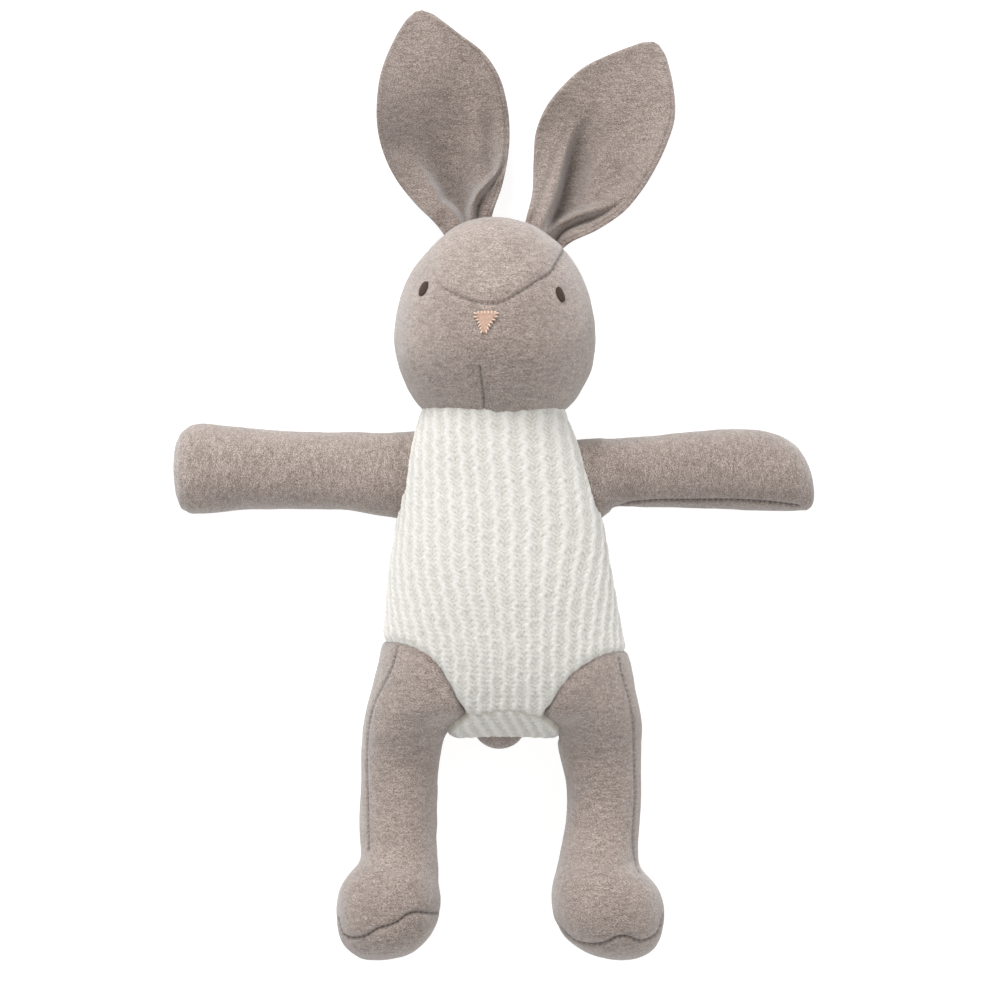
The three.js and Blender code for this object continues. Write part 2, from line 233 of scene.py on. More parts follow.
# Ears: distance from the base, left edge, right edge, height of the middle over the surface.
EAR_LEFT = [
    (-9, -7.5, 7.5, 22),
    (0, -9.8, 9.8, 21),
    (11, -13, 17.2, 14),
    (22, -18.7, 22.6, 10),
    (33, -23.9, 24.8, 9.5),
    (44, -25.4, 25.2, 11.5),
    (55, -23.7, 24.3, 12.5),
    (66, -19.9, 21.7, 11.5),
    (77, -12.6, 14.9, 9),
    (83, -7.8, 9.8, 7.4),
    (87.4, -3.8, 5, 6.4),
    (89.2, -1.2, 1.7, 6),
]
EAR_RIGHT = [
    (-9, -6.8, 8, 22),
    (0, -10.6, 11.8, 21),
    (11, -17.6, 18.2, 14),
    (22, -23, 22.9, 10),
    (33, -25.8, 25.9, 9.5),
    (44, -26.1, 27, 11.5),
    (55, -23.9, 26.1, 12.5),
    (66, -19.9, 21.6, 11.5),
    (76, -13.8, 13.2, 9),
    (82, -9, 8.2, 7.4),
    (86, -4.8, 4.4, 6.4),
    (87.9, -1.6, 1.4, 6),
]
# How far an ear's base sits in the head, how high its edges cup, and the thickness of its two cloths.
EAR_SET_IN = 1.2
EAR_CUP = 8.0
EAR_THICKNESS = 3.8

# Folds of an ear: corners as (across, along) from its tip side to its base, height of the fold, and
# how far it reaches on its left and on its right.
EAR_LEFT_FOLDS = [
    ([(-14, 50), (-11, 37.4), (-9.1, 30.1), (-5.5, 19.8), (-3.2, 10.9), (-0.6, -2)], 8, 9, 1.5),
    ([(-9, 56), (-7.4, 42), (-4.6, 27), (-1.4, 15), (0.6, -1)], -7, 2.4, 7.5),
    ([(20, 33), (13.7, 19.6), (6.3, 11.8), (1.9, 5.6), (0.7, -2)], 6.5, 1.8, 2.6),
    ([(23.5, 36), (19, 23), (14.3, 16), (9.4, 10.3), (5.9, 4.2), (4.5, -2)], -2.2, 0.9, 1.1),
    ([(3, 52), (6, 32), (8, 20)], 2, 4, 5),
    ([(-12, 60), (-13.4, 40), (-10.4, 20), (-7.4, 5), (-6.4, -4)], -1.4, 1.6, 2.2),
]
EAR_RIGHT_FOLDS = [
    ([(-19, 34), (-11.5, 21), (-8.6, 14), (-7.4, 9.5), (-4.2, 6.4), (-0.8, -3)], 7, 5.5, 1.7),
    ([(-5, 46), (-4, 26), (-3, 13), (0.4, -3)], -4.5, 4.6, 6),
    ([(22.5, 36), (17.5, 17), (8.9, 10.2), (4.3, 4.8), (2.2, -3)], 6.5, 1.6, 2.8),
    ([(25.6, 44), (24.4, 30), (21.4, 19.7), (16.1, 13.8), (7.4, 5.6), (5, -2)], -2.8, 1.1, 1),
    ([(13.5, 56), (12.4, 40), (10.4, 26), (10, 17), (8.4, 11)], 3.4, 4, 4.4),
    ([(18, 50), (17.6, 34), (15, 22)], -1.8, 2.6, 2.4),
]

# Eyes: satin stitches over an oval.
EYE_HALF_LENGTH = 3.05
EYE_HALF_WIDTH = 1.3
EYE_STITCHES = 15
EYE_THREAD_RADIUS = 0.26
# Nose: a felt patch from its top to its tip, with shares of the way down and half widths.
NOSE_TOP = (-6.4, 105.6)
NOSE_TIP = (-7.6, 96.9)
NOSE_HALF_WIDTHS = [(0, 4.1), (0.1, 4.8), (0.3, 3.9), (0.55, 2.6), (0.8, 1.6), (0.94, 1.1), (1, 0.6)]
NOSE_THREAD_RADIUS = 0.32
NOSE_STITCH_LENGTH = 1.35

# Unevenness of stuffed jersey: height, width and seed of each layer of lumps.
FLEECE_LUMPS = [(0.55, 17, 3), (0.22, 6, 4), (0.05, 1.3, 5)]
EAR_LUMPS = [(1.0, 19, 21), (0.35, 7, 22), (0.05, 1.3, 23)]
SEAM_STITCH_PITCH = 2.2

# Meshes of the cloth pieces: points round a limb or across an ear, and rows along it.
AROUND = 150
ARM_ROWS = 210
EAR_ROWS = 230
LEG_STEP = 0.8
WELD_DISTANCE = 0.02 * MM
LEG_VOXEL = 1.15 * MM

# Colours, as linear red, green and blue.
FLEECE_DARK = (0.162, 0.120, 0.099)
FLEECE_MIDDLE = (0.362, 0.290, 0.250)
FLEECE_PALE = (0.660, 0.583, 0.542)
KNIT_DARK = (0.64, 0.63, 0.592)
KNIT_PALE = (0.77, 0.762, 0.73)
KNIT_SHADE = (0.42, 0.39, 0.32, 1)
# Painted shade in the gaps between the knit's stitches.
KNIT_GAP_SHADE = (0.30, 0.275, 0.21, 1)
# Painted shade on the fleece: in its seams, folds and hollows, and over some whole parts.
FLEECE_SHADE = (0.12, 0.095, 0.085, 1)
FLEECE_SHEEN = (0.94, 0.97, 1, 1)
EYE_BROWN = (0.075, 0.046, 0.034)
NOSE_PINK = (0.90, 0.70, 0.58)
FELT_PINK = (0.61, 0.41, 0.315)

# Floor, lights and camera, in metres: name, place, size and power in watts of each light.
FLOOR_HALF = 4.0
FLOOR_DROP = 0.0004
FLOOR_GLOW = 0.86
LIGHTS = [
    ("key", (-0.45, 1.6, 1.15), 0.9, 35),
    ("side", (-1.7, -0.1, 0.8), 1.0, 6),
    ("fill", (1.6, 0.0, 1.0), 1.0, 6.5),
    ("low", (0.0, -1.6, 0.8), 1.0, 2),
]
LIGHT_AIM = (0, 0.03, 0.03)
WORLD_STRENGTH = 0.57
CAMERA_PLACE = (-0.0012, 0.032, 2.03)
FRAME_WIDTH = 0.4
FRAME_HEIGHT = 0.03


# ---- numbers and noise


def profile(rows, at):
    """The columns of rows after the first, joined smoothly, at places along the first column."""
    rows = np.array(sorted(rows), float)
    place, values = rows[:, 0], rows[:, 1:]
    at = np.asarray(at, float)
    slope = np.gradient(values, place, axis=0)
    i = np.clip(np.searchsorted(place, at) - 1, 0, len(place) - 2)
    span = (place[i + 1] - place[i])[..., None]
    t = np.clip((at - place[i])[..., None] / span, 0, 1)
    start, end = values[i], values[i + 1]
    out, into = slope[i] * span, slope[i + 1] * span
    return (
        (2 * t**3 - 3 * t**2 + 1) * start
        + (t**3 - 2 * t**2 + t) * out
        + (3 * t**2 - 2 * t**3) * end
        + (t**3 - t**2) * into
    )


def smoothstep(low, high, x):
    """0 below low, 1 above high, and smooth between them; low may be the larger one."""
    t = np.clip((x - low) / (high - low), 0, 1)
    return t * t * (3 - 2 * t)


def bell(x, width):
    """1 where x is 0, fading to 0 over about two widths on either side."""
    return np.exp(-((x / width) ** 2))


def superellipse(turn, fullness):
    """Cosine and sine of turns round a superellipse: 2 is round, and more is squarer."""
    c, s = np.cos(turn), np.sin(turn)
    return np.sign(c) * np.abs(c) ** (2 / fullness), np.sign(s) * np.abs(s) ** (2 / fullness)


def full_turn(count):
    """Angles evenly round a circle."""
    return np.linspace(0, 2 * math.pi, count, endpoint=False)


def walked_along(points):
    """How far along a line of points each one is."""
    return np.r_[0, np.cumsum(np.linalg.norm(np.diff(points, axis=0), axis=1))]


def noise(points, cell, seed):
    """Smooth seeded noise from −1 to 1 whose lumps are about one cell wide."""
    size = 32
    lattice = np.random.default_rng(seed).uniform(-1, 1, (size, size, size))
    q = np.asarray(points, float) / cell
    base = np.floor(q).astype(int)
    t = q - base
    t = t * t * (3 - 2 * t)
    total = np.zeros(len(q))
    for corner in np.ndindex(2, 2, 2):
        share = np.prod(np.where(corner, t, 1 - t), axis=1)
        index = (base + corner) % size
        total += share * lattice[index[:, 0], index[:, 1], index[:, 2]]
    return total


def lumps(points, layers):
    """Unevenness in mm: layers of noise, each with its height, width and seed."""
    return sum(height * noise(points, cell, seed) for height, cell, seed in layers)


def beside_line(points, line):
    """Each point's distance from a line through the given corners, and how far along it that is."""
    line = np.array(line, float)
    nearest = np.full(len(points), 1e9)
    along = np.zeros(len(points))
    walked = 0.0
    for a, b in zip(line[:-1], line[1:]):
        length = np.linalg.norm(b - a)
        t = np.clip((points - a) @ (b - a) / length**2, 0, 1)
        gap = np.linalg.norm(points - (a + t[:, None] * (b - a)), axis=1)
        closer = gap < nearest
        nearest[closer] = gap[closer]
        along[closer] = walked + t[closer] * length
        walked += length
    return nearest, along


def smooth_line(corners, step=1.0):
    """A smooth curve through the corners, as points about one step apart."""
    corners = np.array(corners, float)
    walked = walked_along(corners)
    at = np.linspace(0, walked[-1], max(3, int(walked[-1] / step)))
    return profile(np.c_[walked, corners].tolist(), at)


def beside_seam(points, seam):
    """Each point's distance from a seam seen from the front, and how far along it that is."""
    return beside_line(points[:, :2], smooth_line(seam))


def stitched(along):
    """Share of a seam's painted shade along it: most at each stitch hole and less between them."""
    return 0.72 + 0.28 * np.cos(2 * math.pi * along / SEAM_STITCH_PITCH)


# ---- meshes


def new_mesh(name, points, faces):
    """A smooth mesh object from points in mm and faces of four corners."""
    mesh = bpy.data.meshes.new(name)
    faces = np.asarray(faces, np.int32)
    mesh.vertices.add(len(points))
    mesh.vertices.foreach_set("co", (np.asarray(points) * MM).astype(np.float32).ravel())
    mesh.loops.add(faces.size)
    mesh.loops.foreach_set("vertex_index", faces.ravel())
    mesh.polygons.add(len(faces))
    mesh.polygons.foreach_set("loop_start", np.arange(0, faces.size, faces.shape[1], dtype=np.int32))
    mesh.update(calc_edges=True)
    mesh.shade_smooth()
    obj = bpy.data.objects.new(name, mesh)
    bpy.context.scene.collection.objects.link(obj)
    return obj


def read_surface(obj):
    """The object's vertices in mm, and the normal at each."""
    points, normals = np.zeros((2, len(obj.data.vertices) * 3), np.float32)
    obj.data.vertices.foreach_get("co", points)
    obj.data.vertex_normals.foreach_get("vector", normals)
    return points.reshape(-1, 3).astype(float) / MM, normals.reshape(-1, 3).astype(float)


def write_points(obj, points):
    """Moves the object's vertices to places in mm."""
    obj.data.vertices.foreach_set("co", (points * MM).astype(np.float32).ravel())
    obj.data.update()


def paint(obj, name, values):
    """Stores one number per vertex for a material to read."""
    layer = obj.data.attributes.get(name) or obj.data.attributes.new(name, "FLOAT", "POINT")
    layer.data.foreach_set("value", np.asarray(values, np.float32))


def grid_faces(rows, columns, closed):
    """Quads of a grid of points; closed joins the last column to the first."""
    across = columns if closed else columns - 1
    row, column = np.meshgrid(np.arange(rows - 1), np.arange(across), indexing="ij")
    right = (column + 1) % columns
    corners = [
        row * columns + column,
        row * columns + right,
        (row + 1) * columns + right,
        (row + 1) * columns + column,
    ]
    return np.stack(corners, axis=-1).reshape(-1, 4)


def with_modifiers(obj, *steps):
    """Applies modifiers, each given as (type, settings), and returns the object."""
    for kind, settings in steps:
        modifier = obj.modifiers.new(kind.lower(), kind)
        for key, value in settings.items():
            setattr(modifier, key, value)
    graph = bpy.context.evaluated_depsgraph_get()
    made = bpy.data.meshes.new_from_object(obj.evaluated_get(graph))
    obj.modifiers.clear()
    obj.data = made
    made.shade_smooth()
    return obj


def joined(name, objects):
    """One object that holds all the meshes."""
    with bpy.context.temp_override(
        active_object=objects[0], object=objects[0], selected_editable_objects=objects
    ):
        bpy.ops.object.join()
    objects[0].name = name
    return objects[0]


def flip_if_inside_out(obj):
    """Turns the faces round if the mesh's volume comes out negative."""
    mesh = bmesh.new()
    mesh.from_mesh(obj.data)
    if mesh.calc_volume(signed=True) < 0:
        bmesh.ops.reverse_faces(mesh, faces=mesh.faces)
        mesh.to_mesh(obj.data)
    mesh.free()
    obj.data.shade_smooth()
    return obj


def loft(name, sections, around):
    """A closed body from rings of points; each end closes on its own centre."""
    rows = [np.repeat(sections[0].mean(0)[None], around, 0), *sections]
    rows.append(np.repeat(sections[-1].mean(0)[None], around, 0))
    points = np.concatenate(rows)
    obj = new_mesh(name, points, grid_faces(len(rows), around, closed=True))
    return flip_if_inside_out(obj)


def dress(obj, material):
    """Gives the object its one material, and returns it."""
    obj.data.materials.clear()
    obj.data.materials.append(material)
    return obj


def cube_sphere(cells):
    """Points on a unit sphere and their quads, evenly spread."""
    angle = np.linspace(-math.pi / 4, math.pi / 4, cells + 1)
    a, b = np.meshgrid(np.tan(angle), np.tan(angle), indexing="ij")
    one = np.ones_like(a)
    points, faces = [], []
    for side in ((a, b, one), (b, a, -one), (one, a, b), (-one, b, a), (b, one, a), (a, -one, b)):
        faces.append(grid_faces(cells + 1, cells + 1, closed=False) + len(points) * (cells + 1) ** 2)
        points.append(np.stack(side, axis=-1).reshape(-1, 3))
    points = np.concatenate(points)
    points /= np.linalg.norm(points, axis=1)[:, None]
    return points, np.concatenate(faces)


def closed_ball(name, points, faces):
    """A closed body from a cube sphere's points, facing out and welded along the cube's edges."""
    obj = flip_if_inside_out(new_mesh(name, points, faces))
    return with_modifiers(obj, ("WELD", {"merge_threshold": WELD_DISTANCE}))


# ---- materials


class Nodes:
    """Adds nodes to a material and links them."""

    def __init__(self, name):
        self.material = bpy.data.materials.new(name)
        self.material.use_nodes = True
        self.tree = self.material.node_tree
        self.shader = self.tree.nodes["Principled BSDF"]

    def add(self, kind, inputs=None, **settings):
        """A new node with these settings, and these values or links on its inputs."""
        node = self.tree.nodes.new(kind)
        for key, value in settings.items():
            setattr(node, key, value)
        for key, value in (inputs or {}).items():
            self.plug(value, node.inputs[key])
        return node

    def plug(self, value, socket):
        """Links another node's output to the socket, or sets the socket itself."""
        if isinstance(value, bpy.types.NodeSocket):
            self.tree.links.new(value, socket)
        else:
            socket.default_value = value

    def shade(self, inputs):
        """Links or sets inputs of the shader, and returns the material."""
        for key, value in inputs.items():
            self.plug(value, self.shader.inputs[key])
        return self.material

    def place(self):
        """Where each point is on its object, in metres."""
        return self.add("ShaderNodeTexCoord").outputs["Object"]

    def painted(self, name):
        """The number that paint stored under this name."""
        return self.add("ShaderNodeAttribute", attribute_name=name).outputs["Fac"]

    def noise(self, place, scale, detail=2.0, roughness=0.5):
        """Noise from 0 to 1, with scale lumps to a metre."""
        inputs = {"Vector": place, "Scale": scale, "Detail": detail, "Roughness": roughness}
        return self.add("ShaderNodeTexNoise", inputs).outputs["Fac"]

    def ramp(self, factor, *stops):
        """A colour for each factor, from stops given as (factor, colour)."""
        node = self.add("ShaderNodeValToRGB", {"Fac": factor})
        for stop in stops[2:]:
            node.color_ramp.elements.new(stop[0])
        for element, (position, colour) in zip(node.color_ramp.elements, sorted(stops)):
            element.position = position
            element.color = (*colour, 1)
        return node.outputs["Color"]

    def math(self, operation, first, second=0.0):
        node = self.add("ShaderNodeMath", operation=operation)
        self.plug(first, node.inputs[0])
        self.plug(second, node.inputs[1])
        return node.outputs[0]

    def mix(self, factor, first, second, blend_type="MIX"):
        node = self.add("ShaderNodeMix", data_type="RGBA", blend_type=blend_type)
        self.plug(factor, node.inputs["Factor"])
        self.plug(first, node.inputs["A"])
        self.plug(second, node.inputs["B"])
        return node.outputs["Result"]

    def bump(self, height, distance, strength, under=None):
        """A normal bent by a height, over another one if given."""
        inputs = {"Height": height, "Distance": distance, "Strength": strength}
        if under is not None:
            inputs["Normal"] = under
        return self.add("ShaderNodeBump", inputs).outputs["Normal"]


def fleece_material(name, streaks):
    """Brushed marl jersey: pale and dark fibres side by side, in faint short streaks one way."""
    n = Nodes(name)
    place = n.place()
    streaky = n.add("ShaderNodeMapping", {"Vector": place, "Scale": streaks}).outputs["Vector"]
    grain = n.noise(place, scale=4600, detail=2, roughness=0.7)
    fibres = n.noise(streaky, scale=3300, detail=3, roughness=0.7)
    streak = n.noise(streaky, scale=560, detail=3, roughness=0.65)
    blotch = n.noise(place, scale=55, detail=2, roughness=0.5)
    both = n.math("ADD", n.math("MULTIPLY", grain, 0.45), n.math("MULTIPLY", fibres, 0.55))
    marl = n.ramp(both, (0.42, FLEECE_DARK), (0.50, FLEECE_MIDDLE), (0.58, FLEECE_PALE))
    band = n.ramp(streak, (0.36, (0.78, 0.775, 0.77)), (0.60, (1.06, 1.06, 1.06)))
    banded = n.mix(1.0, marl, band, "MULTIPLY")
    cloudy = n.ramp(blotch, (0.3, (0.93, 0.93, 0.93)), (0.7, (1.03, 1.03, 1.03)))
    tinted = n.mix(1.0, banded, cloudy, "MULTIPLY")
    # The fleece in painted shade, mixed in by the shade that paint stored.
    shaded_tone = n.mix(1.0, tinted, FLEECE_SHADE, "MULTIPLY")
    return n.shade({
        "Base Color": n.mix(n.painted("shade"), tinted, shaded_tone),
        "Roughness": 0.95,
        "Sheen Weight": 0.5,
        "Sheen Roughness": 0.5,
        "Sheen Tint": FLEECE_SHEEN,
        "Specular IOR Level": 0.1,
        "Normal": n.bump(both, distance=0.0005, strength=0.7),
    })


def knit_material():
    """Off-white cotton yarn, soft and matt, with a column of small stitches between the ribs."""
    n = Nodes("knit")
    place = n.place()
    fibre = n.noise(place, scale=1400, detail=3, roughness=0.6)
    valley = n.painted("valley")
    uneven = n.math("SUBTRACT", n.noise(place, scale=620, detail=2, roughness=0.6), 0.5)
    stitch = n.math("ADD", n.painted("stitch"), n.math("MULTIPLY", uneven, 1.3))
    strand = n.math("ABSOLUTE", n.math("SINE", n.math("MULTIPLY", stitch, math.pi)))
    # Painted shade in the gaps between strands in the valleys, in broken patches.
    between = n.math("MULTIPLY", n.math("POWER", n.math("SUBTRACT", 1.0, strand), 1.6), valley)
    patches = n.noise(place, scale=1250, detail=2, roughness=0.6)
    holes = n.ramp(patches, (0.40, (0.25, 0.25, 0.25)), (0.58, (1, 1, 1)))
    tone = n.ramp(fibre, (0.3, KNIT_DARK), (0.7, KNIT_PALE))
    # Painted shade where paint stored it.
    shaded = n.mix(n.painted("shade"), tone, KNIT_SHADE)
    gaps = n.math("MULTIPLY", n.math("MULTIPLY", between, holes), 0.42)
    coarse = n.bump(n.math("MULTIPLY", strand, valley), distance=0.0005, strength=0.3)
    return n.shade({
        "Base Color": n.mix(gaps, shaded, KNIT_GAP_SHADE),
        "Roughness": 0.9,
        "Sheen Weight": 0.3,
        "Specular IOR Level": 0.2,
        "Subsurface Weight": 0.12,
        "Subsurface Radius": (0.002, 0.0018, 0.0015),
        "Normal": n.bump(fibre, distance=0.0004, strength=0.5, under=coarse),
    })


def thread_material(name, colour, roughness=0.5):
    """Twisted embroidery thread, or felt when it is rough."""
    n = Nodes(name)
    fibre = n.noise(n.place(), scale=2600, detail=2, roughness=0.5)
    dark = tuple(0.6 * c for c in colour)
    # Painted shade where paint stored it, such as on the nose's felt under its stitches.
    shade_colour = tuple(0.5 * c for c in colour) + (1,)
    tone = n.ramp(fibre, (0.3, dark), (0.65, colour))
    return n.shade({
        "Base Color": n.mix(n.painted("shade"), tone, shade_colour),
        "Roughness": roughness,
        "Specular IOR Level": 0.25,
        "Sheen Weight": 0.05,
        "Normal": n.bump(fibre, distance=0.0002, strength=0.5),
    })


# The marl's streaks lie along X, and along Y on the arms.
FLEECE = fleece_material("fleece", streaks=(0.4, 1.5, 1.0))
ARM_FLEECE = fleece_material("arm_fleece", streaks=(1.5, 0.4, 1.0))
KNIT = knit_material()
EYE_THREAD = thread_material("eye_thread", EYE_BROWN, roughness=0.6)
NOSE_THREAD = thread_material("nose_thread", NOSE_PINK)
NOSE_FELT = thread_material("nose_felt", FELT_PINK, roughness=0.9)


# ---- body form


def section_point(y, turn):
    """Points on the body form at places along it and turns round it."""
    x, z, side, rise = profile(BODY, y).T
    c, s = superellipse(turn, BODY_FULLNESS)
    rise = np.where(s < 0, np.minimum(rise, z - BODY_OFF_SURFACE), rise)
    return np.stack([x + side * c, y, z + rise * s], axis=-1)


def past_opening(points):
    """How far each point is outside the nearer leg opening, in mm; inside is negative."""
    bulge, bulge_y, bulge_length = THIGH_BULGE
    pushed = bulge * bell(points[:, 1] - bulge_y, bulge_length)
    turn_y, turn_slope = OPENING_TURN
    gaps = []
    for x, y, half, height, fullness in (OPENING_RIGHT, OPENING_LEFT):
        u = np.maximum(0, np.sign(x) * (x - points[:, 0]) - pushed) / half
        u += turn_slope * np.maximum(0, turn_y - points[:, 1]) / half
        v = np.maximum(0, points[:, 1] - y) / height
        gaps.append(((u**fullness + v**fullness) ** (1 / fullness) - 1) * OPENING_SIZE)
    return np.where(points[:, 0] < 0, gaps[0], gaps[1])


def knit_relief(x_rib, row, pitch, points):
    """Height of the knit over its ground: rope ribs with a column of slanted stitches between."""
    rib = np.round(x_rib)
    drift = noise(np.c_[row / 2.6, rib * 3.7, np.zeros_like(row)], 1.0, 11)
    wave = np.sin(2 * math.pi * row / ROPE_WAVE_ROWS + 1.9 * rib + 2.4 * drift)
    off = (x_rib - rib) * pitch - (ROPE_WAVE * pitch * wave + 0.35 * drift)
    rope = np.sqrt(np.maximum(0, 1 - (off / (ROPE_HALF_WIDTH * pitch)) ** 2))
    twist = 0.07 * np.sin(2 * math.pi * (row + off * 0.25) + rib * 2.1)
    across = pitch / 2 - np.abs(off)
    phase = row + STITCH_SLANT * across + 0.5 * noise(points, 16, 12)
    strand = np.abs(np.sin(math.pi * phase)) ** 0.8
    middle = smoothstep(0.0, 0.45, across)
    column = smoothstep(pitch / 2 + 0.2, pitch / 2 - 1.2, np.abs(across))
    stitches = (0.34 + 0.32 * strand * middle) * column
    height = np.maximum(rope * (1.05 + twist), stitches)
    # Painted shade: darker in the valleys off the ropes, and less on the stitches' strands.
    dark = (1 - rope) ** 0.5 * (1 - 0.6 * strand * middle)
    return height, dark, phase, 1 - rope


def knit_rows():
    """y of each row of the knit's mesh, evenly along the body's upper outline, and its length."""
    fine = np.linspace(BODY[-1][0], BODY[0][0], 2000)[::-1]
    walked = walked_along(np.c_[fine, profile(BODY, fine)[:, 3]])
    rows = int(walked[-1] / KNIT_ROW_STEP)
    return np.interp(np.linspace(0, walked[-1], rows), walked, fine), walked[-1]


def knit_row(y):
    """Points evenly round the body form at y, with the count of ribs and the ribs' pitch at each."""
    turns = np.linspace(0, 2 * math.pi, 721)
    length = walked_along(section_point(np.full(turns.shape, y), turns))
    place = np.arange(KNIT_COLUMNS) / KNIT_COLUMNS * length[-1]
    turn = np.interp(place, length, turns)
    beside = place - np.interp(math.pi / 2, turns, length) + RIB_LINE
    spread = float(profile(RIB_SPREAD, y)[0])
    pitch = float(profile(RIB_PITCH, y)[0]) * (1 + spread * np.clip(-beside, *RIB_SPREAD_REACH))
    counted = np.cumsum(length[-1] / KNIT_COLUMNS / pitch)
    points = section_point(np.full(turn.shape, y), turn)
    return points, counted - np.interp(0, beside, counted), pitch


def make_knit():
    """The knit body in two pieces: the front, and the back that also closes the crotch."""
    y_rows, outline = knit_rows()
    points, ribs, pitches = (np.concatenate(part) for part in zip(*map(knit_row, y_rows)))
    faces = grid_faces(len(y_rows), KNIT_COLUMNS, closed=True)[:, ::-1]
    whole = flip_if_inside_out(new_mesh("knit_form", points, faces))
    _, normals = read_surface(whole)
    bpy.data.objects.remove(whole)

    # Where each point is: below the crotch's seam, over the side seams, and outside the openings.
    crotch = np.interp(points[:, 0], *np.array(CROTCH_SEAM).T) + 0.7 * noise(points, 4, 31)
    below = crotch - points[:, 1]
    above_side = points[:, 2] - profile(BODY, points[:, 1])[:, 1]
    gap = past_opening(points)
    front = above_side > 0
    seam = bell(below, 0.9) * front
    side_seam = bell(above_side, 1.0)

    # The pattern's relief, calmer at the collar, along the openings and on the seams.
    ribs = np.where(below > 0, ribs + 0.5 + UNDERSIDE_SLANT * below / pitches, ribs)
    row_step = outline / (len(y_rows) - 1) / profile(ROW_PITCH, y_rows)[:, 0]
    row = np.repeat(np.cumsum(row_step), KNIT_COLUMNS)
    height, dark, phase, valley = knit_relief(ribs, row, pitches, points)
    flatten = 1 - 0.55 * smoothstep(2.4, 0.2, gap)
    calm = 1 - 0.75 * smoothstep(66, 70, points[:, 1])
    valley = valley * calm * flatten
    height = 0.5 + (height - 0.5) * calm * flatten * (1 - 0.6 * np.maximum(seam, side_seam))

    # The knit tucks in under the legs and at its seams.
    drop = 8 * smoothstep(0.4, -4.5, gap) + 0.9 * bell(gap, 1.6)
    lift = height - 0.9 - drop - 0.35 * seam - 0.9 * side_seam * smoothstep(-60, -50, points[:, 1])
    lift += 0.5 * noise(points, 21, 8)
    # Painted shade in the valleys, in the crotch seam, and where the knit tucks under the legs.
    shade = np.clip(0.3 * dark + 0.3 * seam + 0.6 * smoothstep(0.6, -1.2, gap), 0, 1)
    collar = smoothstep(72, 69, points[:, 1] + 0.5 * noise(points, 5, 9))
    points = points + normals * lift[:, None]
    pull = (1 - collar) * COLLAR_PULL
    points[:, ::2] += (profile(BODY, points[:, 1])[:, :2] - points[:, ::2]) * pull[:, None]

    # The last row folds flat on itself, which closes the underside.
    lowest = points[-KNIT_COLUMNS:]
    lowest[:] = (lowest + lowest[-np.arange(KNIT_COLUMNS)]) / 2

    is_front = front & (points[:, 1] > crotch)
    face_front = is_front[faces].sum(1) >= 2
    pieces = []
    for name, wanted in (("knit_front", face_front), ("knit_back", ~face_front)):
        used, index = np.unique(faces[wanted], return_inverse=True)
        piece = new_mesh(name, points[used], index.reshape(-1, 4))
        for layer, values in (("shade", shade), ("stitch", phase), ("valley", valley)):
            paint(piece, layer, values[used])
        pieces.append(dress(piece, KNIT))
    return pieces


# ---- head


def head_surface(directions):
    """The head's surface in directions from its centre."""
    x, y, z = np.asarray(directions, float).T
    half_y = np.where(y > 0, HEAD_RISE, HEAD_HALF_WIDTH)
    points = np.c_[x * HEAD_HALF_WIDTH, y * half_y, z * HEAD_HALF_DEPTH] + HEAD_CENTRE
    lean, low, high = HEAD_LEAN
    points[:, 0] += lean * smoothstep(low, high, points[:, 1])
    drop, high, low = CHIN_DROP
    points[:, 2] -= drop * smoothstep(high, low, points[:, 1])
    least, slope = HEAD_FLAT
    points[:, 2] = np.maximum(points[:, 2], least + slope * points[:, 2])
    return points


def in_crown(points):
    """How far each point is inside the forehead panel, seen from the front, in mm."""
    line = smooth_line(CROWN_SEAM)
    lowest = np.interp(points[:, 0], line[::-1, 0], line[::-1, 1])
    gap, _ = beside_line(points[:, :2], line)
    inside = (points[:, 1] > lowest) & (np.abs(points[:, 0] - CROWN_MIDDLE) < CROWN_HALF_WIDTH)
    return np.where(inside, gap, -gap)


def make_head():
    """The stuffed head: a raised forehead panel with its seam, and a short seam up the chin."""
    directions, faces = cube_sphere(118)
    obj = closed_ball("head_cover", head_surface(directions), faces)
    points, normals = read_surface(obj)
    facing = smoothstep(34, 40, points[:, 2])
    depth_in = in_crown(points)
    crown_panel = smoothstep(-0.4, 5.5, depth_in) * facing
    raised = 1.1 * crown_panel * smoothstep(40, 52, points[:, 2])
    points = points + normals * (lumps(points, FLEECE_LUMPS) + raised - 0.3)[:, None]
    gap, along = beside_seam(points, CROWN_SEAM)
    near = bell(gap, 0.65) * np.interp(along, *zip(*CROWN_SEAM_FADE)) * facing
    points -= normals * (0.8 * near)[:, None]
    chin_gap, _ = beside_seam(points, CHIN_SEAM)
    chin = bell(chin_gap, 0.6) * facing
    points -= normals * (0.6 * chin + 0.5 * bell(chin_gap, 5) * facing)[:, None]
    write_points(obj, points)
    # Painted shade: in the crown seam at its stitch holes, in the chin seam, and over the face panel
    # where it faces up.
    face_panel_shade = 0.1 * (1 - crown_panel) * smoothstep(0.6, 0.95, normals[:, 2]) * smoothstep(0.5, -3, depth_in)
    paint(obj, "shade", np.clip(0.7 * near * stitched(along) + 0.4 * chin + face_panel_shade, 0, 1))
    return dress(obj, FLEECE)


# ---- limbs


def arm_form(name, rows):
    """An arm lofted along x from rows of place, centres and half sizes, finer towards its tip."""
    first, last = rows[0][0], rows[-1][0]
    place = last + (first - last) * (1 - np.linspace(0, 1, ARM_ROWS)) ** 1.5
    c, s = superellipse(full_turn(AROUND), ARM_FULLNESS)
    sections = []
    for x, (y, z, side, rise) in zip(place, profile(rows, place)):
        up = np.where(s < 0, min(rise, z - LIMB_OFF_SURFACE), rise)
        sections.append(np.stack([np.full(AROUND, x), y + side * c, z + up * s], axis=-1))
    return loft(name, sections, AROUND)


